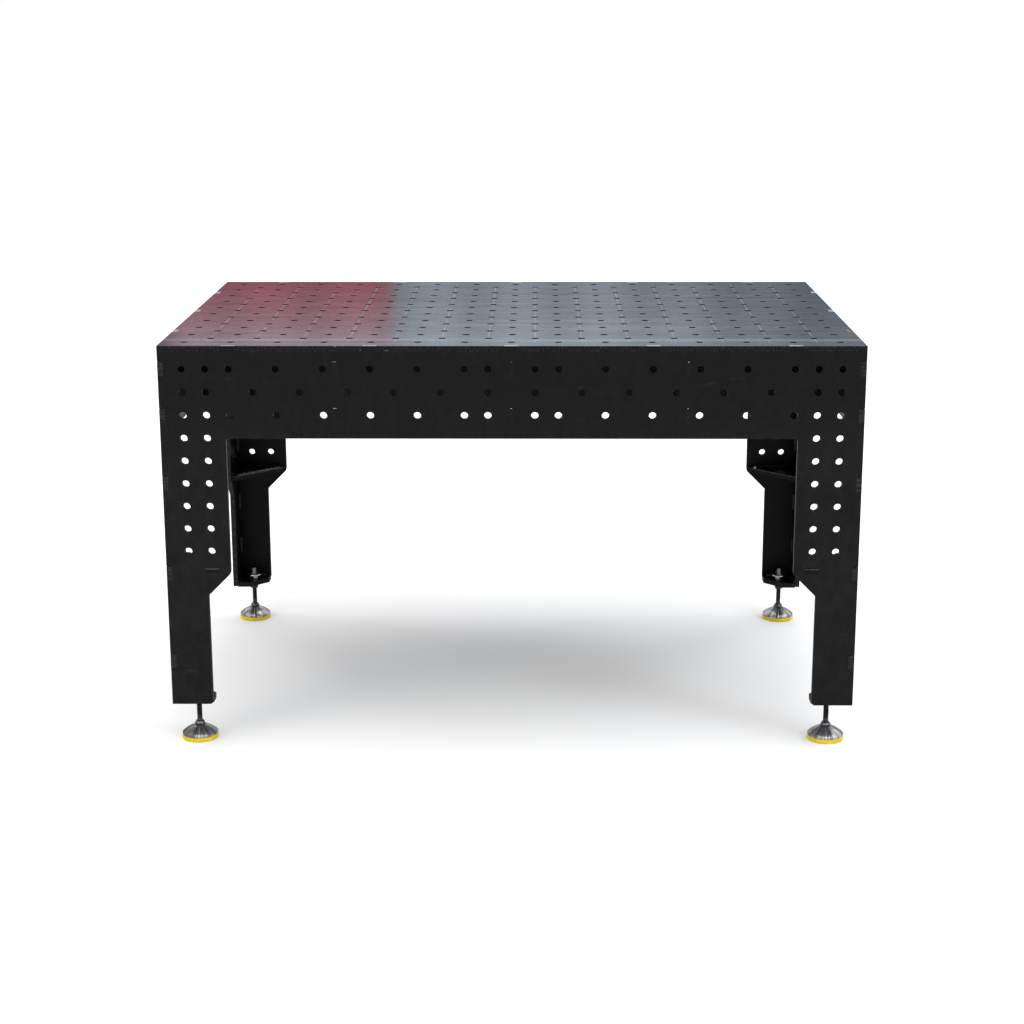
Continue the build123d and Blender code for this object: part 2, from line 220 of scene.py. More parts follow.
# ======== materials ========
def work_surface_steel():
    """The top: blackened, oiled plate with rolling streaks, light grid lines and worn edges."""
    n = Nodes("work_surface_steel")
    x, y = n.axis(n.place, 0), n.axis(n.place, 1)
    cut = n.step(n.math("ABSOLUTE", n.axis(n.normal, 2)), 0.5, 0.3)
    off_rim = n.times(n.within(0, HALF_LENGTH - 2 * MM), n.within(1, HALF_WIDTH - 2 * MM))
    rim = n.math("SUBTRACT", 1.0, off_rim)

    streaks = n.noise((2.2, 30.0, 12.0), detail=6.0, rough=0.60, warp=0.4)
    fine = n.noise((9.0, 230.0, 90.0), detail=5.0, rough=0.6)
    mottle = n.noise((130.0, 130.0, 130.0), detail=5.0, rough=0.7)
    tone = n.plus(n.times(streaks, 0.34), n.times(n.plus(fine, mottle), 0.33))
    tone = n.step(tone, 0.36, 0.64)
    stains = n.step(n.noise((26.0, 34.0, 26.0), detail=5.0, rough=0.6), 0.60, 0.74)
    colour = n.tint(tone, (0.017, 0.020, 0.025), (0.040, 0.045, 0.053))
    colour = n.tint(n.times(stains, 0.5), colour, (0.010, 0.010, 0.012))
    front = -HALF_WIDTH
    rubbed = n.times(n.step(y, front + 58 * MM, front + 68 * MM), n.step(y, front + 98 * MM, front + 84 * MM))
    colour = n.tint(n.times(rubbed, n.blend(tone, 0.15, 0.55)), colour, (0.19, 0.21, 0.24))

    from_line = n.math("PINGPONG", n.math("SUBTRACT", x, HOLE_PITCH), HOLE_PITCH)
    from_line = n.plus(from_line, n.blend(n.noise((0.0, 22.0, 0.0)), -0.8 * MM, 0.8 * MM))
    on_line = n.step(from_line, 1.5 * MM, 0.8 * MM)
    worn_line = n.step(n.noise((26.0, 26.0, 26.0), detail=3.0), 0.34, 0.62)
    line = n.times(n.times(on_line, n.within(0, HALF_LENGTH - 55 * MM)), worn_line)
    facing_up = n.step(n.axis(n.normal, 2), 0.9, 0.98)
    line = n.times(line, n.times(facing_up, n.within(1, HALF_WIDTH - 50 * MM)))
    colour = n.tint(n.times(line, 0.45), colour, (0.36, 0.38, 0.41))

    wear = n.times(n.edges(1.2 * MM), n.step(n.noise((60.0, 60.0, 60.0)), 0.42, 0.62))
    colour = n.tint(n.times(wear, 0.45), colour, (0.20, 0.21, 0.23))

    grain = n.noise((420.0, 420.0, 90.0), detail=4.0, rough=0.6)
    torch = n.tint(n.step(grain, 0.34, 0.66), (0.006, 0.006, 0.0065), (0.022, 0.022, 0.025))
    nicks = n.step(n.noise((95.0, 95.0, 160.0), detail=2.0), 0.735, 0.77)
    torch = n.tint(n.times(nicks, 0.7), torch, (0.16, 0.16, 0.17))
    # Cut faces at the rim keep the torch colour; the walls of the holes are painted plain dark, as painted
    # shade in the holes.
    colour = n.tint(cut, colour, n.tint(rim, (0.006, 0.006, 0.007), torch))

    n.set(base_color=colour)
    n.set(roughness=n.blend(cut, n.blend(line, n.blend(tone, 0.34, 0.46), 0.55), 0.58))
    n.set(specular_ior_level=0.0, coat_roughness=0.11, coat_ior=1.48)
    coat = n.blend(n.times(stains, 0.6), n.blend(tone, 0.72, 1.0), 0.45)
    n.set(coat_weight=n.blend(cut, coat, 0.0))
    relief = n.bump(n.noise((9.0, 620.0, 300.0), detail=5.0, rough=0.65), 0.012 * MM)
    relief = n.bump(n.times(line, -1.0), 0.08 * MM, onto=relief)
    relief = n.bump(n.times(grain, cut), 0.16 * MM, onto=relief)
    n.set(normal=relief, coat_normal=relief)
    return n.material


def plate_steel(name, across, torch_dark, torch_light, lit_edge=None):
    """Blackened plate whose thickness lies along one axis, with grainy cut edges.

    Faces inside the frame get painted shade, and the plates are painted darker towards their top. Below the
    height lit_edge, cut edges are darker.
    """
    n = Nodes(name)
    z = n.axis(n.place, 2)
    cut = n.step(n.math("ABSOLUTE", n.axis(n.normal, across)), 0.6, 0.4)
    scale = n.noise((9.0, 9.0, 9.0), detail=6.0, rough=0.65)
    mottle = n.noise((55.0, 55.0, 40.0), detail=5.0, rough=0.6)
    fine = n.noise((900.0, 900.0, 700.0), detail=2.0)
    grain = n.noise((300.0, 300.0, 260.0), detail=4.0, rough=0.7)
    tone = n.plus(n.times(scale, 0.2), n.times(mottle, 0.3))
    tone = n.step(n.plus(tone, n.times(grain, 0.5)), 0.38, 0.62)
    colour = n.tint(tone, (0.0034, 0.0034, 0.0034), (0.0106, 0.0104, 0.0103))
    # Painted shade: the plates are painted darker towards their top, from about 0.6 m up.
    colour = n.tint(n.times(n.step(z, 0.60, 0.82), 0.5), colour, (0.0034, 0.0034, 0.0035))
    wiped = n.noise((2.2, 2.2, 14.0), detail=5.0, rough=0.7, warp=1.2)
    dust = n.times(n.step(wiped, 0.60, 0.80), n.step(mottle, 0.40, 0.62))
    colour = n.tint(n.times(dust, 0.55), colour, (0.042, 0.041, 0.041))
    # Painted shade: faces inside the frame are painted darker than the outer faces.
    inside = n.times(n.within(0, INNER_X), n.within(1, INNER_Y))
    soot_and_inside_shade = n.tint(tone, (0.0012, 0.0013, 0.0016), (0.0038, 0.0040, 0.0048))
    colour = n.tint(inside, colour, soot_and_inside_shade)

    wear = n.times(n.edges(1.0 * MM), n.step(mottle, 0.44, 0.62))
    colour = n.tint(n.times(wear, 0.6), colour, (0.055, 0.055, 0.058))

    along = [520.0, 520.0, 520.0]
    along[across] = 45.0
    striae = n.noise(tuple(along), detail=3.0, rough=0.6)
    torch = n.tint(n.step(striae, 0.38, 0.66), torch_dark, torch_light)
    if lit_edge is not None:
        shade = n.plus(z, n.blend(mottle, -3.5 * MM, 3.5 * MM))
        torch = n.tint(n.step(shade, lit_edge, lit_edge + 1 * MM), (0.004, 0.004, 0.0045), torch)
    colour = n.tint(cut, colour, torch)

    faces_up = n.step(n.axis(n.normal, 2), 0.7, 0.9)
    ground = n.times(n.step(z, HEIGHT - 0.5 * MM, HEIGHT - 0.2 * MM), faces_up)
    ground = n.times(ground, n.step(n.noise((38.0, 38.0, 38.0), detail=2.0), 0.30, 0.52))
    scratches = n.noise((14.0, 700.0, 700.0), detail=4.0)
    bright = n.tint(n.step(scratches, 0.3, 0.7), (0.26, 0.27, 0.28), (0.50, 0.51, 0.52))
    n.set(base_color=n.tint(ground, colour, bright), metallic=ground)
    gloss = n.blend(n.times(dust, 0.8), n.blend(tone, 0.36, 0.50), 0.62)
    n.set(roughness=n.blend(ground, n.blend(cut, gloss, 0.55), 0.36))
    n.set(specular_ior_level=0.09)
    relief = n.bump(fine, 0.03 * MM)
    relief = n.bump(mottle, 0.10 * MM, onto=relief)
    relief = n.bump(n.times(striae, cut), 0.22 * MM, onto=relief)
    n.set(normal=relief)
    return n.material


def weld_metal():
    """Raw weld: heat-tinted ripples with dark smoke stains."""
    n = Nodes("weld_metal")
    tints = n.noise((60.0, 60.0, 60.0), detail=3.0)
    colour = n.tint(n.step(tints, 0.35, 0.65), (0.34, 0.33, 0.33), (0.72, 0.69, 0.66))
    soot_and_inside_shade = n.step(n.noise((140.0, 140.0, 140.0), detail=4.0), 0.50, 0.70)
    colour = n.tint(n.times(soot_and_inside_shade, 0.75), colour, (0.05, 0.05, 0.055))
    n.set(base_color=colour, metallic=0.5)
    n.set(roughness=n.blend(soot_and_inside_shade, 0.34, 0.62))
    n.set(normal=n.bump(n.noise((900.0, 900.0, 900.0)), 0.04 * MM))
    return n.material


def dull_weld(name, dark, light):
    """Weld that was blackened with the plates, or slag."""
    n = Nodes(name)
    tone = n.noise((120.0, 120.0, 120.0), detail=4.0)
    n.set(base_color=n.tint(n.step(tone, 0.35, 0.68), dark, light))
    n.set(roughness=n.blend(tone, 0.30, 0.50))
    n.set(specular_ior_level=0.2)
    n.set(normal=n.bump(n.noise((900.0, 900.0, 900.0)), 0.04 * MM))
    return n.material


def turned_steel(name, dark, light, rough, metallic=1.0):
    """Turned metal whose tool marks run round the part's own axis."""
    n = Nodes(name)
    marks = n.noise((9.0, 9.0, 900.0), detail=3.0, rough=0.6)
    film = n.noise((70.0, 70.0, 70.0), detail=4.0)
    colour = n.tint(n.step(marks, 0.30, 0.70), dark, light)
    colour = n.tint(n.times(n.step(film, 0.52, 0.74), 0.35), colour, dark)
    n.set(base_color=colour, metallic=metallic)
    n.set(roughness=n.blend(film, rough * 0.8, rough * 1.25))
    n.set(normal=n.bump(marks, 0.006 * MM))
    return n.material


def bell_steel():
    """Spun and polished stainless: gloss stretched by the tool marks, thin radial streaks painted in as
    reflections and glints, painted shade on the mouth's rim and on the left of the front left bell.
    """
    n = Nodes("polished_stainless")
    marks = n.noise((9.0, 9.0, 1400.0), detail=3.0, rough=0.6)
    # Painted reflections: light and dark radial streaks in the base colour stand in for the streaked
    # reflections of the turned surface.
    broad, thin = n.spokes(FOOT_X, FOOT_Y, 15), n.spokes(FOOT_X, FOOT_Y, 70)
    painted_reflection_rays = n.plus(n.times(broad, 0.65), n.times(thin, 0.35))
    colour = n.tint(n.step(painted_reflection_rays, 0.42, 0.58), (0.115, 0.104, 0.100), (0.42, 0.415, 0.44))
    colour = n.tint(n.times(n.step(marks, 0.30, 0.70), 0.3), colour, (0.50, 0.50, 0.51))
    # Painted shade: the flat ring round the mouth is painted dark.
    painted_mouth_shade = n.step(n.axis(n.place, 2), BELL_TOP - 1.6 * MM, BELL_TOP - 0.6 * MM)
    colour = n.tint(n.times(painted_mouth_shade, 0.9), colour, (0.035, 0.033, 0.032))
    x, y = n.axis(n.place, 0), n.axis(n.place, 1)
    # Painted shade: the left side of the front left bell is painted dark.
    painted_left_shade = n.times(n.step(x, 2 * MM - FOOT_X, -16 * MM - FOOT_X), n.step(y, 0.0, -FOOT_Y))
    colour = n.tint(n.times(painted_left_shade, 0.75), colour, (0.060, 0.050, 0.046))
    tangent = n.tree.nodes.new("ShaderNodeTangent")
    tangent.direction_type = "RADIAL"
    tangent.axis = "Z"
    # Painted highlights: thin bright radial streaks, which are also less metallic.
    painted_glint_streaks = n.step(n.spokes(FOOT_X, FOOT_Y, 40), 0.62, 0.70)
    colour = n.tint(painted_glint_streaks, colour, (0.80, 0.80, 0.82))
    n.set(base_color=colour, metallic=n.blend(painted_glint_streaks, 0.84, 0.55), anisotropic=0.75, tangent=tangent.outputs[0])
    n.set(roughness=n.blend(painted_reflection_rays, 0.20, 0.34), normal=n.bump(marks, 0.006 * MM))
    return n.material


def stud_steel(name):
    """Steel of the stud: grey shoulder, then dark with oil, and painted light above the foot plate."""
    n = Nodes(name)
    z = n.axis(n.place, 2)
    film = n.noise((160.0, 160.0, 160.0), detail=4.0)
    marks = n.noise((9.0, 9.0, 900.0), detail=3.0, rough=0.6)
    shoulder = n.tint(n.step(marks, 0.30, 0.70), (0.09, 0.085, 0.086), (0.25, 0.24, 0.25))
    oiled = n.tint(n.step(film, 0.36, 0.66), (0.024, 0.023, 0.021), (0.070, 0.066, 0.060))
    oiled = n.tint(n.times(n.edges(0.35 * MM), n.step(film, 0.40, 0.60)), oiled, (0.12, 0.115, 0.11))
    # Painted light: the stud above the foot plate is painted bright.
    painted_light_above_plate = n.tint(n.step(film, 0.36, 0.66), (0.20, 0.20, 0.205), (0.46, 0.46, 0.475))
    colour = n.tint(n.step(z, SHOULDER_TOP - 1.5 * MM, SHOULDER_TOP), shoulder, oiled)
    colour = n.tint(n.step(z, PLATE_TOP, PLATE_TOP + 2 * MM), colour, painted_light_above_plate)
    n.set(base_color=colour, metallic=0.8, roughness=n.blend(film, 0.28, 0.48))
    n.set(normal=n.bump(n.noise((1500.0, 1500.0, 1500.0)), 0.01 * MM))
    return n.material


def moulded(name, dark, light, rough, subsurface=0.0):
    """Moulded elastomer or nylon with a fine grain, scuffs and settled dust."""
    n = Nodes(name)
    tone = n.noise((45.0, 45.0, 45.0), detail=4.0)
    grain = n.noise((1800.0, 1800.0, 1800.0), detail=2.0)
    colour = n.tint(n.step(tone, 0.34, 0.68), dark, light)
    dirt = n.times(n.step(n.noise((110.0, 110.0, 230.0), detail=5.0, rough=0.65), 0.56, 0.74), 0.35)
    dirt = n.times(dirt, n.step(n.axis(n.place, 2), 9 * MM, 1 * MM))
    colour = n.tint(dirt, colour, tuple(channel * 0.25 for channel in dark))
    n.set(base_color=colour, roughness=n.blend(tone, rough * 0.85, rough * 1.15))
    n.set(subsurface_weight=subsurface, subsurface_scale=2 * MM, specular_ior_level=0.25)
    n.set(normal=n.bump(grain, 0.02 * MM))
    return n.material


# ======== meshes ========
def mesh_piece(name, vertices, faces, material, slot, body, sharp=35.0):
    """A smooth-shaded piece with sharp edges above an angle, riding on a body."""
    mesh = bpy.data.meshes.new(name)
    mesh.from_pydata(vertices, [], faces)
    mesh.validate()
    mesh.shade_smooth()
    mesh.set_sharp_from_angle(angle=math.radians(sharp))
    mesh.materials.append(material)
    piece = bpy.data.objects.new(name, mesh)
    bpy.context.scene.collection.objects.link(piece)
    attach(piece, body)
    return piece


def softened(points, radius, steps=4):
    """A profile whose corners, apart from its two ends, are rounded by that radius."""
    result = [points[0]]
    for before, corner, after in zip(points, points[1:], points[2:]):
        here, back, ahead = Vector(corner), Vector(before), Vector(after)
        reach = min(radius, 0.45 * (back - here).length, 0.45 * (ahead - here).length)
        start = here + (back - here).normalized() * reach
        end = here + (ahead - here).normalized() * reach
        for index in range(steps + 1):
            t = index / steps
            result.append(tuple(start * (1 - t) ** 2 + here * 2 * t * (1 - t) + end * t**2))
    result.append(points[-1])
    return result


def ringed(rings, closed_ends=True):
    """Vertices and faces of a tube through rings of equal count. A ring of one point is a pole."""
    vertices, faces, starts = [], [], []
    for ring in rings:
        starts.append((len(vertices), len(ring)))
        vertices.extend(ring)
    for (first, count), (second, next_count) in zip(starts, starts[1:]):
        around = max(count, next_count)
        for index in range(around):
            after = (index + 1) % around
            if count == 1:
                faces.append((first, second + after, second + index))
            elif next_count == 1:
                faces.append((first + index, first + after, second))
            else:
                faces.append((first + index, first + after, second + after, second + index))
    if closed_ends:
        for (start, count), flip in ((starts[0], True), (starts[-1], False)):
            if count > 1:
                loop = list(range(start, start + count))
                faces.append(tuple(reversed(loop)) if flip else tuple(loop))
    return vertices, faces


def level_ring(centre, radius_at, height, count):
    """A level ring whose radius depends on the angle."""
    ring = []
    for index in range(count):
        angle = 2 * math.pi * index / count
        radius = radius_at(angle)
        ring.append((centre[0] + radius * math.cos(angle), centre[1] + radius * math.sin(angle), height))
    return ring


def circle(centre, radius, height, count):
    if radius < 1e-6:
        return [(centre[0], centre[1], height)]
    return level_ring(centre, lambda angle: radius, height, count)


def lathe(profile, centre, count, loop=False):
    """A turned surface from (radius, height) points. A looped profile is a ring with a bore."""
    rings = [circle(centre, radius, height, count) for radius, height in profile]
    if loop:
        rings.append(rings[0])
    return ringed(rings, closed_ends=not loop)


def foot_centre(corner):
    low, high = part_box(f"{corner}_levelling_stud")
    return (low.x + high.x) / 2, (low.y + high.y) / 2


# ======== levelling feet ========
def arc_points(centre_height, radius, start, end, steps):
    """Profile points on a ball, at angles down from straight up."""
    angles = [math.radians(start + (end - start) * index / steps) for index in range(steps + 1)]
    return [(radius * math.sin(a), centre_height + radius * math.cos(a)) for a in angles]


def make_pad(corner, material):
    """Elastic pad: rounded edges, a low lip round the bell and two grooves in the sole."""
    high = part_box(f"{corner}_foot_pad")[1]
    outer = high.x - foot_centre(corner)[0]
    top = high.z
    groove = 1.5 * MM
    sole = []
    for radius in (25 * MM, 14 * MM):
        for across, height in ((1, 0), (0.8, groove), (-0.8, groove), (-1, 0)):
            sole.append((radius + across * groove, height))
    outline = [
        (0, top),
        (outer - 0.8 * MM, top),
        (outer - 0.1 * MM, top - 0.9 * MM),
        (outer - 0.1 * MM, 5.2 * MM),
        (outer, 4.9 * MM),
        (outer, 4.1 * MM),
        (outer - 0.1 * MM, 3.8 * MM),
        (outer - 0.1 * MM, 1.4 * MM),
        (outer - 1.4 * MM, 0),
        *sole,
        (0, 0),
    ]
    shell = lathe(softened(outline, 0.5 * MM)[::-1], foot_centre(corner), 128)
    return mesh_piece(f"{corner}_pad", *shell, material, "yellow_pad", f"{corner}_foot")


def make_bell(corner, material):
    """Polished bell: upright rim, fine groove, crowned cone and a rolled mouth round the ball."""
    low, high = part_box(f"{corner}_foot_bell")
    outer = high.x - foot_centre(corner)[0]
    bottom, top = low.z, high.z
    mouth = math.acos((SOCKET_TOP - BALL_CENTRE) / SOCKET_RADIUS)
    mouth_radius = SOCKET_RADIUS * math.sin(mouth)
    shoulder = bottom + 5.0 * MM
    cone = []
    steps = 14
    crown = 1.5 * MM
    start = Vector((outer - 0.35 * MM, shoulder + 0.35 * MM))
    end = Vector((12.7 * MM, top - 1.2 * MM))
    outward = Vector((end.y - start.y, start.x - end.x)).normalized()
    for index in range(steps + 1):
        t = index / steps
        cone.append(tuple(start.lerp(end, t) + outward * crown * 4 * t * (1 - t)))
    outline = [
        (0, bottom),
        (outer - 0.7 * MM, bottom),
        (outer, bottom + 0.7 * MM),
        (outer, shoulder - 0.5 * MM),
        (outer - 0.55 * MM, shoulder - 0.25 * MM),
        (outer - 0.55 * MM, shoulder),
        (outer - 0.1 * MM, shoulder + 0.1 * MM),
        *cone,
        (11.7 * MM, top),
        (mouth_radius + 0.5 * MM, top),
        (mouth_radius, top - 0.5 * MM),
    ]
    profile = softened(outline, 0.3 * MM, steps=3)
    profile += arc_points(BALL_CENTRE, SOCKET_RADIUS, math.degrees(mouth), 180, 20)
    shell = lathe(profile, foot_centre(corner), 160)
    return mesh_piece(f"{corner}_bell", *shell, material, "polished_stainless", f"{corner}_foot", sharp=40)


THREAD_PITCH = 1.75 * MM
THREAD_DEPTH = 1.05 * MM
CREST = 5.98 * MM
SHANK = 5.85 * MM             # radius of the stud's plain stretch
FLATS_LOW = 41 * MM
FLATS_HIGH = 50 * MM
THREAD_START = 51 * MM
NUT_FLATS = 19 * MM
RING = 96                     # points round a nut or washer


def thread_radius(height, angle, start, end):
    """Radius of a right-handed thread that fades out at both ends."""
    phase = (height / THREAD_PITCH - angle / (2 * math.pi)) % 1.0
    from_crest = min(phase, 1 - phase) * 2
    flank = min(max((from_crest - 0.14) / 0.66, 0.0), 1.0)
    fade = min(max(min(height - start, end - height) / THREAD_PITCH, 0.0), 1.0)
    return CREST - THREAD_DEPTH * (flank * fade + (1 - fade))


def make_ball_stud(corner, material):
    """The stud below its thread: ball, neck, turned shoulder and wrench flats."""
    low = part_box(f"{corner}_levelling_stud")[0]
    centre = foot_centre(corner)
    count = 48
    ball_radius = BALL_CENTRE - low.z
    neck = 4.5 * MM
    neck_angle = math.degrees(math.asin(neck / ball_radius))
    lower = arc_points(BALL_CENTRE, ball_radius, 180, neck_angle, 16)
    shoulder = [
        lower[-1],
        (neck, 33.6 * MM),
        (11.35 * MM, 33.6 * MM),
        (11.35 * MM, 34.8 * MM),
        (10.0 * MM, 36.7 * MM),
        (8.9 * MM, 38.6 * MM),
        (8.3 * MM, SHOULDER_TOP),
        (6.6 * MM, SHOULDER_TOP + 0.3 * MM),
        (SHANK, FLATS_LOW),
    ]
    profile = lower[:-1] + softened(shoulder, 0.5 * MM, steps=3)
    rings = [circle(centre, radius, height, count) for radius, height in profile]
    flats = 5.0 * MM
    for height, clipped in (
        (FLATS_LOW, False),
        (FLATS_LOW, True),
        (FLATS_HIGH, True),
        (FLATS_HIGH, False),
        (THREAD_START, False),
    ):
        ring = circle(centre, SHANK, height, count)
        if clipped:
            ring = [(x, centre[1] + min(max(y - centre[1], -flats), flats), z) for x, y, z in ring]
        rings.append(ring)
    return mesh_piece(f"{corner}_ball_stud", *ringed(rings), material, "stud_steel", f"{corner}_stud")


def make_thread(corner, material):
    """The stud's rolled thread, up to its bevelled end."""
    centre = foot_centre(corner)
    count = 48
    bevel = 1.4 * MM
    start, end = THREAD_START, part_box(f"{corner}_levelling_stud")[1].z
    rows = int((end - start) / (THREAD_PITCH / 8))
    rings = [circle(centre, CREST - THREAD_DEPTH, start - 0.4 * MM, count)]
    for row in range(rows + 1):
        height = start + (end - start) * row / rows
        limit = CREST - max(0.0, height - (end - bevel))
        rings.append(level_ring(
            centre,
            lambda angle: min(thread_radius(height, angle, start, end + THREAD_PITCH), limit),
            height,
            count,
        ))
    rings.append(circle(centre, 0, end - 0.05 * MM, count))
    mesh_piece(f"{corner}_thread", *ringed(rings), material, "stud_steel", f"{corner}_stud", sharp=60)


def hex_radius(angle, flats):
    return flats / 2 / math.cos((angle + math.pi / 6) % (math.pi / 3) - math.pi / 6)


def hex_rings(centre, bottom, top, bevel_top):
    """Rings up a hexagon whose corners are turned off by a 30 degree cone, below and maybe above."""
    cone = math.tan(math.radians(30))
    start = NUT_FLATS / 2 - 0.3 * MM
    corner = NUT_FLATS / math.sqrt(3)
    depth = (corner - start) * cone
    heights = [bottom + depth * index / 5 for index in range(6)]
    heights += [top - depth * (5 - index) / 5 for index in range(6)] if bevel_top else [top]
    rings = []
    for height in heights:
        limit = min(corner, start + (height - bottom) / cone)
        if bevel_top:
            limit = min(limit, start + (top - height) / cone)
        rings.append(level_ring(centre, lambda angle: min(hex_radius(angle, NUT_FLATS), limit), height, RING))
    return rings


def bore_rings(centre, top, bottom):
    """The nut's threaded bore from its upper countersink down to its lower one."""
    bore = CREST + 0.22 * MM
    deep = 0.35 * MM
    mouth = 0.9 * MM
    rings = [circle(centre, bore + mouth, top, RING), circle(centre, bore, top - mouth, RING)]
    inner_top, inner_bottom = top - 1.1 * MM, bottom + 1.1 * MM
    rows = max(2, int((inner_top - inner_bottom) / (THREAD_PITCH / 6)))

    def radius_at(angle):
        phase = (height / THREAD_PITCH - angle / (2 * math.pi)) % 1.0
        return bore + deep * abs(2 * phase - 1)

    for row in range(rows + 1):
        height = inner_top + (inner_bottom - inner_top) * row / rows
        rings.append(level_ring(centre, radius_at, height, RING))
    rings += [circle(centre, bore, bottom + mouth, RING), circle(centre, bore + mouth, bottom, RING)]
    return rings


def make_lock_nut(corner, material):
    low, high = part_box(f"{corner}_lock_nut")
    centre = foot_centre(corner)
    rings = hex_rings(centre, low.z, high.z, bevel_top=True)
    rings += bore_rings(centre, high.z, low.z)
    vertices, faces = ringed(rings + [rings[0]], closed_ends=False)
    return mesh_piece(f"{corner}_jam_nut", vertices, faces, material, "black_fastener", f"{corner}_nut")


def make_collar_nut(corner, material):
    """Weld nut: a hexagon that stands on the foot plate, with a turned collar on top."""
    low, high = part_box(f"{corner}_collar_nut")
    centre = foot_centre(corner)
    collar = high.x - centre[0]
    collar_depth = 3.0 * MM
    under = high.z - collar_depth
    edge = [
        (10.2 * MM, under),
        (collar, under),
        (collar, high.z),
        (8.2 * MM, high.z),
        (8.0 * MM, high.z - 0.2 * MM),
    ]
    rings = hex_rings(centre, low.z, under - 0.1 * MM, bevel_top=False)
    rings += [circle(centre, radius, height, RING) for radius, height in softened(edge, 0.7 * MM)]
    rings += bore_rings(centre, high.z - 0.2 * MM, low.z)
    vertices, faces = ringed(rings + [rings[0]], closed_ends=False)
    return mesh_piece(f"{corner}_flange_nut", vertices, faces, material, "zinc_fastener", "table")


def make_washer(corner, material):
    low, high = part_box(f"{corner}_lock_washer")
    centre = foot_centre(corner)
    outer = high.x - centre[0]
    bore = 6.6 * MM
    outline = [(bore, low.z), (outer, low.z), (outer, high.z), (bore, high.z)]
    profile = softened([*outline, *outline[:2]], 0.45 * MM)[1:-1]
    shell = lathe(profile, centre, RING, loop=True)
    return mesh_piece(f"{corner}_plain_washer", *shell, material, "black_fastener", f"{corner}_washer")


def make_feet():
    pad = moulded("yellow_elastomer", (0.70, 0.52, 0.003), (0.86, 0.66, 0.006), 0.40, subsurface=0.05)
    bell = bell_steel()
    stud = stud_steel("turned_stud")
    zinc = turned_steel("bright_zinc", (0.40, 0.40, 0.41), (0.66, 0.66, 0.68), 0.26)
    black = turned_steel("black_oxide", (0.012, 0.012, 0.013), (0.034, 0.034, 0.036), 0.40, metallic=0.4)
    nylon = moulded("natural_nylon", (0.62, 0.60, 0.54), (0.80, 0.78, 0.72), 0.42, subsurface=0.1)
    thread = stud_steel("thread_steel")
    for corner in CORNERS:
        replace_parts(make_pad(corner, pad), f"{corner}_foot_pad")
        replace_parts(make_bell(corner, bell), f"{corner}_foot_bell")
        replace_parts(make_ball_stud(corner, stud), f"{corner}_levelling_stud")
        make_thread(corner, thread)
        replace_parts(make_lock_nut(corner, black), f"{corner}_lock_nut")
        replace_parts(make_washer(corner, black), f"{corner}_lock_washer")
        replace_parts(make_collar_nut(corner, zinc), f"{corner}_collar_nut")
        for seat in ("upper_ball_seat", "lower_ball_seat"):
            paint(f"{corner}_{seat}", nylon)


# ======== welds ========
def bead(start, end, first, second, size, seed, pitch=2.4 * MM, uneven=0.10):
    """A rippled fillet weld from start to end in the corner between two faces.

    first and second point along the two faces, away from the corner.
    """
    run = Vector(end) - Vector(start)
    length = run.length
    ahead = run.normalized()
    first, second = Vector(first), Vector(second)
    rings_count = max(8, int(length / (0.7 * MM)))
    across = 8
    rings = []
    for index in range(rings_count + 1):
        t = index / rings_count * length
        near_end = min(t, length - t) / (size * 0.9)
        taper = math.sqrt(min(max(near_end, 0.0), 1.0)) if near_end < 1 else 1.0
        wander = uneven * noise.noise(Vector((t * 90, seed * 7.3, 0.0)))
        corner = Vector(start) + ahead * t
        ring = [tuple(corner - (first + second) * size * 0.12)]
        for step in range(across + 1):
            angle = math.pi / 2 * step / across
            mid = 1 - abs(angle - math.pi / 4) / (math.pi / 4)
            chord = 1 / (math.cos(angle) + math.sin(angle))
            ripple = math.sin(2 * math.pi * ((t + mid * 1.1 * MM) / pitch + seed * 0.37))
            radius = chord * (1 + 0.18 * mid) * (1 + wander + 0.055 * ripple * (0.3 + 0.7 * mid))
            reach = size * max(taper, 0.06) * radius
            ring.append(tuple(corner + (first * math.cos(angle) + second * math.sin(angle)) * reach))
        rings.append(ring)
    return ringed(rings)


def stitches(start, end, length, gap, first, second, size, seed):
    """Beads of one length with gaps between them, centred on a straight seam."""
    seam = Vector(end) - Vector(start)
    count = max(1, int((seam.length + gap) / (length + gap)))
    used = count * length + (count - 1) * gap
    ahead = seam.normalized()
    begin = Vector(start) + ahead * (seam.length - used) / 2
    shells = []
    for index in range(count):
        slack = 0.06 * length * noise.noise(Vector((seed * 3.1, index * 5.7, 1.0)))
        low = begin + ahead * (index * (length + gap) + slack)
        shells.append(bead(low, low + ahead * length, first, second, size, seed + index))
    return shells


def joined(shells):
    """Several shells as one list of vertices and one of faces."""
    vertices, faces = [], []
    for shell_vertices, shell_faces in shells:
        base = len(vertices)
        vertices.extend(shell_vertices)
        faces.extend(tuple(index + base for index in face) for face in shell_faces)
    return vertices, faces


def upright(place, low, high):
    """The two ends of an upright seam."""
    return Vector((place[0], place[1], low)), Vector((place[0], place[1], high))


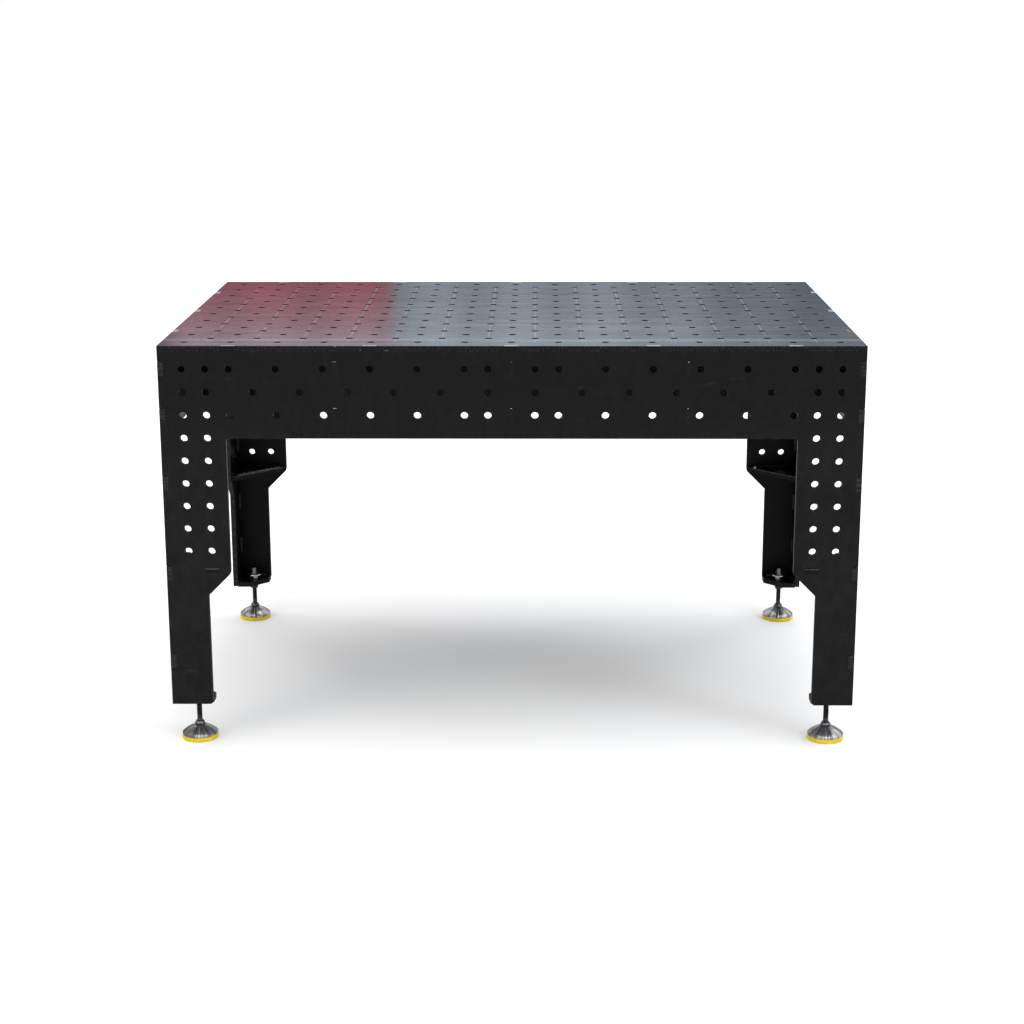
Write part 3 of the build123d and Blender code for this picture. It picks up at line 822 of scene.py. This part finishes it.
def leg_welds(corner):
    """Fillets down a leg's inner corner and round its gusset and foot plate."""
    side_x, side_y = CORNERS[corner]
    inner = Vector((side_x * INNER_X, side_y * INNER_Y, 0))
    toward_x = Vector((-side_x, 0, 0))
    toward_y = Vector((0, -side_y, 0))
    up = Vector((0, 0, 1))
    seed = 10 * (side_x + 2 * side_y)
    shells = []
    gusset_low, gusset_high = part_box(f"{corner}_gusset")
    plate_low, plate_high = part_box(f"{corner}_foot_plate")
    clear = 12 * MM
    for low, high in (
        (plate_high.z + clear, gusset_low.z - clear),
        (gusset_high.z + clear, TOP_LOW.z - 10 * MM),
    ):
        seam = upright(inner, low, high)
        shells += stitches(*seam, 45 * MM, 75 * MM, toward_x, toward_y, 4.5 * MM, seed)
    gusset_reach = gusset_high.x - gusset_low.x - PLATE
    plate_reach = plate_high.x - plate_low.x
    for height, facing, reach, size in (
        (gusset_high.z, up, gusset_reach, 4.0 * MM),
        (gusset_low.z, -up, gusset_reach, 4.0 * MM),
        (plate_high.z, up, plate_reach, 4.5 * MM),
    ):
        for run, wall in ((toward_x, toward_y), (toward_y, toward_x)):
            base = inner + up * height
            seam = base + run * 10 * MM, base + run * (reach - 2 * MM)
            shells += stitches(*seam, reach - 24 * MM, 10 * MM, facing, wall, size, seed + height * 100)
    return shells


def rib_welds():
    """Stitches under the top along each rib, and at the ribs' ends and crossings."""
    shells = []
    down = Vector((0, 0, -1))
    end_low, end_high = RIB_BOTTOM + 4 * MM, TOP_LOW.z - 8 * MM
    for number, name in enumerate(CROSS_RIBS):
        low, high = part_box(name)
        for face_x, side in ((low.x, -1), (high.x, 1)):
            away = Vector((side, 0, 0))
            seam = [Vector((face_x, way * (INNER_Y - 30 * MM), TOP_LOW.z)) for way in (-1, 1)]
            if name != "centre_cross_rib":
                shells += stitches(*seam, 40 * MM, 135 * MM, away, down, 4 * MM, number * 13 + side)
            for end_y in (-1, 1):
                seam = upright((face_x, end_y * INNER_Y), end_low, end_high)
                wall = Vector((0, -end_y, 0))
                seed = number * 17 + side + end_y
                shells += stitches(*seam, 45 * MM, 50 * MM, away, wall, 4.5 * MM, seed)
    for number, name in enumerate(LONG_RIBS):
        low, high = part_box(name)
        for face_y, side in ((low.y, -1), (high.y, 1)):
            away = Vector((0, side, 0))
            seam = [Vector((way * (INNER_X - 40 * MM), face_y, TOP_LOW.z)) for way in (-1, 1)]
            shells += stitches(*seam, 40 * MM, 150 * MM, away, down, 4 * MM, number * 19 + side + 100)
            for end_x in (-1, 1):
                seam = upright((end_x * INNER_X, face_y), end_low, end_high)
                wall = Vector((-end_x, 0, 0))
                seed = number * 23 + side + end_x + 200
                shells += stitches(*seam, 45 * MM, 50 * MM, away, wall, 4.5 * MM, seed)
            for rib in CROSS_RIBS:
                rib_low, rib_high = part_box(rib)
                for face_x, way in ((rib_low.x, -1), (rib_high.x, 1)):
                    seam = upright((face_x, face_y), RIB_BOTTOM + 20 * MM, RIB_BOTTOM + 60 * MM)
                    seed = face_x * 50 + way + side
                    shells += stitches(*seam, 35 * MM, 50 * MM, Vector((way, 0, 0)), away, 4 * MM, seed)
    return shells


def apron_welds():
    """Stitches in the inner corner between the aprons and the top."""
    shells = []
    down = Vector((0, 0, -1))
    for side in (-1, 1):
        start = Vector((-INNER_X + 30 * MM, side * INNER_Y, TOP_LOW.z))
        end = Vector((INNER_X - 30 * MM, side * INNER_Y, TOP_LOW.z))
        shells += stitches(start, end, 45 * MM, 120 * MM, Vector((0, -side, 0)), down, 5 * MM, 300 + side)
        start = Vector((side * INNER_X, -INNER_Y + 30 * MM, TOP_LOW.z))
        end = Vector((side * INNER_X, INNER_Y - 30 * MM, TOP_LOW.z))
        shells += stitches(start, end, 45 * MM, 120 * MM, Vector((-side, 0, 0)), down, 5 * MM, 310 + side)
    return shells


def slot_fill(centre, half_long, half_high, outward, along, seed):
    """A short lumpy bead that fills part of the gap beside a tab, just under the outer face."""
    up = Vector(outward).cross(Vector(along))
    rings = []
    count, around = 14, 10
    for index in range(count + 1):
        t = 2 * index / count - 1
        swell = math.sqrt(max(1 - t * t, 0.0))
        lump = 1 + 0.25 * noise.noise(Vector((t * 3.0, seed * 2.9, 0.5)))
        ring = []
        for turn in range(around):
            angle = 2 * math.pi * turn / around
            high = math.sin(angle) * half_high * swell * lump
            deep = math.cos(angle) * 1.4 * MM * swell * lump
            point = Vector(centre) + Vector(along) * t * half_long + up * high
            ring.append(tuple(point + Vector(outward) * (min(deep, 1.2 * MM) - 1.5 * MM)))
        rings.append(ring)
    return ringed(rings)


def tab_welds():
    """Bright weld showing in the gaps above the tabs of the ribs and of the short panels."""
    shells = []
    tab_tops = [HEIGHT - depth * MM + 15 * MM for depth in (50, 150)]
    gap = 0.75 * MM
    fills = {"left_cross_rib": 5.6 * MM, "centre_cross_rib": 2.6 * MM, "right_cross_rib": 2.2 * MM}
    for side in (-1, 1):
        for name, half_long in fills.items():
            low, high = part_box(name)
            for number, tab_top in enumerate(tab_tops):
                centre = ((low.x + high.x) / 2, side * HALF_WIDTH, tab_top + gap)
                shells.append(slot_fill(centre, half_long, gap, (0, side, 0), (side, 0, 0), number + low.x))
        for name in LONG_RIBS:
            low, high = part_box(name)
            for number, tab_top in enumerate(tab_tops):
                centre = (side * HALF_LENGTH, (low.y + high.y) / 2, tab_top + gap)
                outward, along = (side, 0, 0), (0, side, 0)
                shells.append(slot_fill(centre, 3.6 * MM, gap * 0.8, outward, along, number + low.y))
    return shells


def gusset_bead(corner, first, last, inset, size):
    """A lumpy bead on a gusset's top, beside its sloping edge, between two shares of that edge."""
    side_x, side_y = CORNERS[corner]
    outer = Vector((side_x * HALF_LENGTH, side_y * HALF_WIDTH, GUSSET_TOP - 0.6 * MM))
    near = outer + Vector((-side_x * GUSSET_LIP, -side_y * GUSSET_REACH, 0))
    far = outer + Vector((-side_x * GUSSET_REACH, -side_y * GUSSET_LIP, 0))
    inward = Vector((side_x, side_y, 0)).normalized()
    ends = [near.lerp(far, share) + inward * inset for share in (first, last)]
    return bead(*ends, inward, Vector((0, 0, 1)), size, inset * 900, pitch=9 * MM, uneven=0.5)


def make_welds():
    raw = weld_metal()
    dull = dull_weld("dull_weld", (0.005, 0.005, 0.0055), (0.020, 0.020, 0.021))
    slag_grey = dull_weld("slag", (0.030, 0.030, 0.034), (0.165, 0.165, 0.185))
    for corner in CORNERS:
        mesh_piece(f"{corner}_leg_welds", *joined(leg_welds(corner)), dull, "panel_steel", "table", sharp=60)
    mesh_piece("rib_welds", *joined(rib_welds()), dull, "panel_steel", "table", sharp=60)
    mesh_piece("apron_welds", *joined(apron_welds()), dull, "panel_steel", "table", sharp=60)
    slag = [
        gusset_bead("rear_left", 0.01, 0.96, 1.5 * MM, 3.6 * MM),
        gusset_bead("rear_left", 0.02, 0.38, 14 * MM, 2.6 * MM),
    ]
    mesh_piece("gusset_slag", *joined(slag), slag_grey, "panel_steel", "table", sharp=60)
    spot = gusset_bead("rear_right", 0.87, 0.94, 2 * MM, 4 * MM)
    mesh_piece("gusset_spot_weld", *spot, raw, "panel_steel", "table")
    mesh_piece("tab_welds", *joined(tab_welds()), raw, "panel_steel", "table", sharp=60)


# ======== plates ========
def paint(node, material):
    for material_slot in NODES[node].material_slots:
        material_slot.material = material


def paint_plates():
    paint("top_plate", work_surface_steel())
    grey, light = (0.007, 0.007, 0.0072), (0.032, 0.032, 0.033)
    thick_x = plate_steel("plate_steel_across_x", 0, grey, light)
    thick_y = plate_steel("plate_steel_across_y", 1, grey, light)
    sooty = (0.0045, 0.0045, 0.005), (0.011, 0.011, 0.012)
    ribs_x = plate_steel("rib_steel_across_x", 0, *sooty)
    ribs_y = plate_steel("rib_steel_across_y", 1, *sooty)
    lit = (0.02, 0.02, 0.022), (0.075, 0.075, 0.084)
    gussets = plate_steel("gusset_steel", 2, *lit, lit_edge=GUSSET_TOP - 3 * MM)
    foot_plates = plate_steel("foot_plate_steel", 2, (0.004, 0.004, 0.0045), (0.014, 0.014, 0.0155))
    for names, material in (
        (("left_panel", "right_panel"), thick_x),
        (("front_panel", "rear_panel"), thick_y),
        (CROSS_RIBS, ribs_x),
        (LONG_RIBS, ribs_y),
        ([f"{corner}_gusset" for corner in CORNERS], gussets),
        ([f"{corner}_foot_plate" for corner in CORNERS], foot_plates),
    ):
        for name in names:
            paint(name, material)


# ======== studio ========
def make_floor():
    n = Nodes("pale_floor")
    tone = n.noise((0.7, 0.7, 0.7), detail=3.0)
    n.set(base_color=n.tint(tone, (0.88, 0.88, 0.88), (0.91, 0.91, 0.91)))
    n.set(roughness=0.85, specular_ior_level=0.2)
    rim = circle((0, 0), 90.0, 0, 128)
    mesh = bpy.data.meshes.new("floor")
    mesh.from_pydata(rim, [], [tuple(range(len(rim)))])
    mesh.materials.append(n.material)
    floor = bpy.data.objects.new("floor", mesh)
    bpy.context.scene.collection.objects.link(floor)


def make_world():
    """White to the camera. For the light: a dim horizon, behind it a red patch, under a ring of lamps."""
    world = bpy.data.worlds.new("studio")
    bpy.context.scene.world = world
    world.use_nodes = True
    tree = world.node_tree
    tree.nodes.clear()

    def mapped(value, low, high, at_low, at_high):
        node = tree.nodes.new("ShaderNodeMapRange")
        node.interpolation_type = "SMOOTHSTEP"
        tree.links.new(value, node.inputs["Value"])
        for name, number in (("From Min", low), ("From Max", high), ("To Min", at_low), ("To Max", at_high)):
            node.inputs[name].default_value = number
        return node.outputs[0]

    def combined(operation, *values):
        node = tree.nodes.new("ShaderNodeMath")
        node.operation = operation
        for socket, value in zip(node.inputs, values):
            if isinstance(value, bpy.types.NodeSocket):
                tree.links.new(value, socket)
            else:
                socket.default_value = value
        return node.outputs[0]

    def tinted(factor, first, second):
        node = tree.nodes.new("ShaderNodeMix")
        node.data_type = "RGBA"
        tree.links.new(factor, node.inputs["Factor"])
        for socket, value in zip(node.inputs[6:8], (first, second)):
            if isinstance(value, tuple):
                socket.default_value = (*value, 1)
            else:
                tree.links.new(value, socket)
        return node.outputs[2]

    def product(first, *others):
        for other in others:
            first = combined("MULTIPLY", first, other)
        return first

    coordinates = tree.nodes.new("ShaderNodeTexCoord")
    split = tree.nodes.new("ShaderNodeSeparateXYZ")
    tree.links.new(coordinates.outputs["Generated"], split.inputs[0])
    right, back, up = split.outputs
    azimuth = combined("ARCTAN2", right, back)

    bands = mapped(combined("SINE", combined("MULTIPLY_ADD", azimuth, 150.0, 2.88)), -1.0, 1.0, 0.35, 0.47)
    horizon = product(
        combined("ADD", bands, mapped(up, 0.148, 0.168, 0.0, 0.62)),
        mapped(azimuth, 0.02, 0.16, 1.0, 0.46),
        mapped(azimuth, -0.188, -0.178, 0.40, 1.0),
    )
    lamps = mapped(combined("SINE", combined("MULTIPLY_ADD", azimuth, 9.0, 0.8)), 0.35, 0.80, 0.45, 1.9)
    ceiling = product(mapped(up, 0.20, 0.55, 0.0, 1.0), lamps)
    strength = product(combined("ADD", horizon, ceiling), mapped(back, -0.3, 0.5, 0.60, 1.0))

    red = product(mapped(azimuth, -0.076, -0.068, 1.0, 0.0), mapped(azimuth, -0.24, -0.20, 0.0, 1.0),
                  mapped(up, 0.150, 0.172, 1.0, 0.0))
    blue = product(mapped(up, 0.17, 0.30, 1.0, 0.0), mapped(back, 0.0, 0.4, 0.0, 1.0))
    cool = tinted(blue, (0.97, 0.98, 1.0), (0.81, 0.94, 1.06))
    colour = tinted(red, cool, (1.15, 0.02, 0.06))

    background = tree.nodes.new("ShaderNodeBackground")
    tree.links.new(colour, background.inputs["Color"])
    tree.links.new(strength, background.inputs["Strength"])
    backdrop = tree.nodes.new("ShaderNodeBackground")
    backdrop.inputs["Color"].default_value = (1.0, 1.0, 1.0, 1)
    seen = tree.nodes.new("ShaderNodeLightPath")
    choice = tree.nodes.new("ShaderNodeMixShader")
    tree.links.new(seen.outputs["Is Camera Ray"], choice.inputs[0])
    tree.links.new(background.outputs[0], choice.inputs[1])
    tree.links.new(backdrop.outputs[0], choice.inputs[2])
    output = tree.nodes.new("ShaderNodeOutputWorld")
    tree.links.new(choice.outputs[0], output.inputs["Surface"])


def add_light(name, kind, place, aim, strength, colour, size):
    data = bpy.data.lights.new(name, kind)
    data.energy = strength
    data.color = colour
    if kind == "AREA":
        data.shape = "RECTANGLE"
        data.size = data.size_y = size
    else:
        data.angle = size
    light = bpy.data.objects.new(name, data)
    light.location = place
    direction = Vector(aim) - Vector(place)
    light.rotation_euler = direction.to_track_quat("-Z", "Y").to_euler()
    bpy.context.scene.collection.objects.link(light)


def light_studio():
    make_world()
    wide = math.radians(70)
    add_light("overhead", "SUN", (0.6, -1.2, 6.0), (0, 0, 0), 2.1, (1.0, 1.0, 1.0), wide)
    for name, place, colour in (
        ("left_softbox", (-3.4, -3.2, 2.6), (1.0, 0.90, 0.78)),
        ("right_softbox", (3.6, -3.0, 2.4), (0.84, 0.92, 1.0)),
    ):
        add_light(name, "AREA", place, (0, 0, 0.5), 36, colour, 1.6)


def make_camera():
    """The viewing angle: a little right of the middle, from above the work surface."""
    data = bpy.data.cameras.new("camera")
    data.sensor_width = 36.0
    data.lens = 69.73
    data.clip_end = 200.0
    camera = bpy.data.objects.new("camera", data)
    tilt_down, turn_left, roll = math.radians(14.357), math.radians(0.706), math.radians(-0.10)
    turn = Matrix.Rotation(turn_left, 4, "Z") @ Matrix.Rotation(math.pi / 2 - tilt_down, 4, "X")
    place = Matrix.Translation((0.0520, -4.6349, 1.5925))
    camera.matrix_world = place @ turn @ Matrix.Rotation(roll, 4, "Z")
    bpy.context.scene.collection.objects.link(camera)
    bpy.context.scene.camera = camera


paint_plates()
make_feet()
make_welds()
make_floor()
light_studio()
make_camera()
bpy.context.scene.view_settings.view_transform = "Standard"
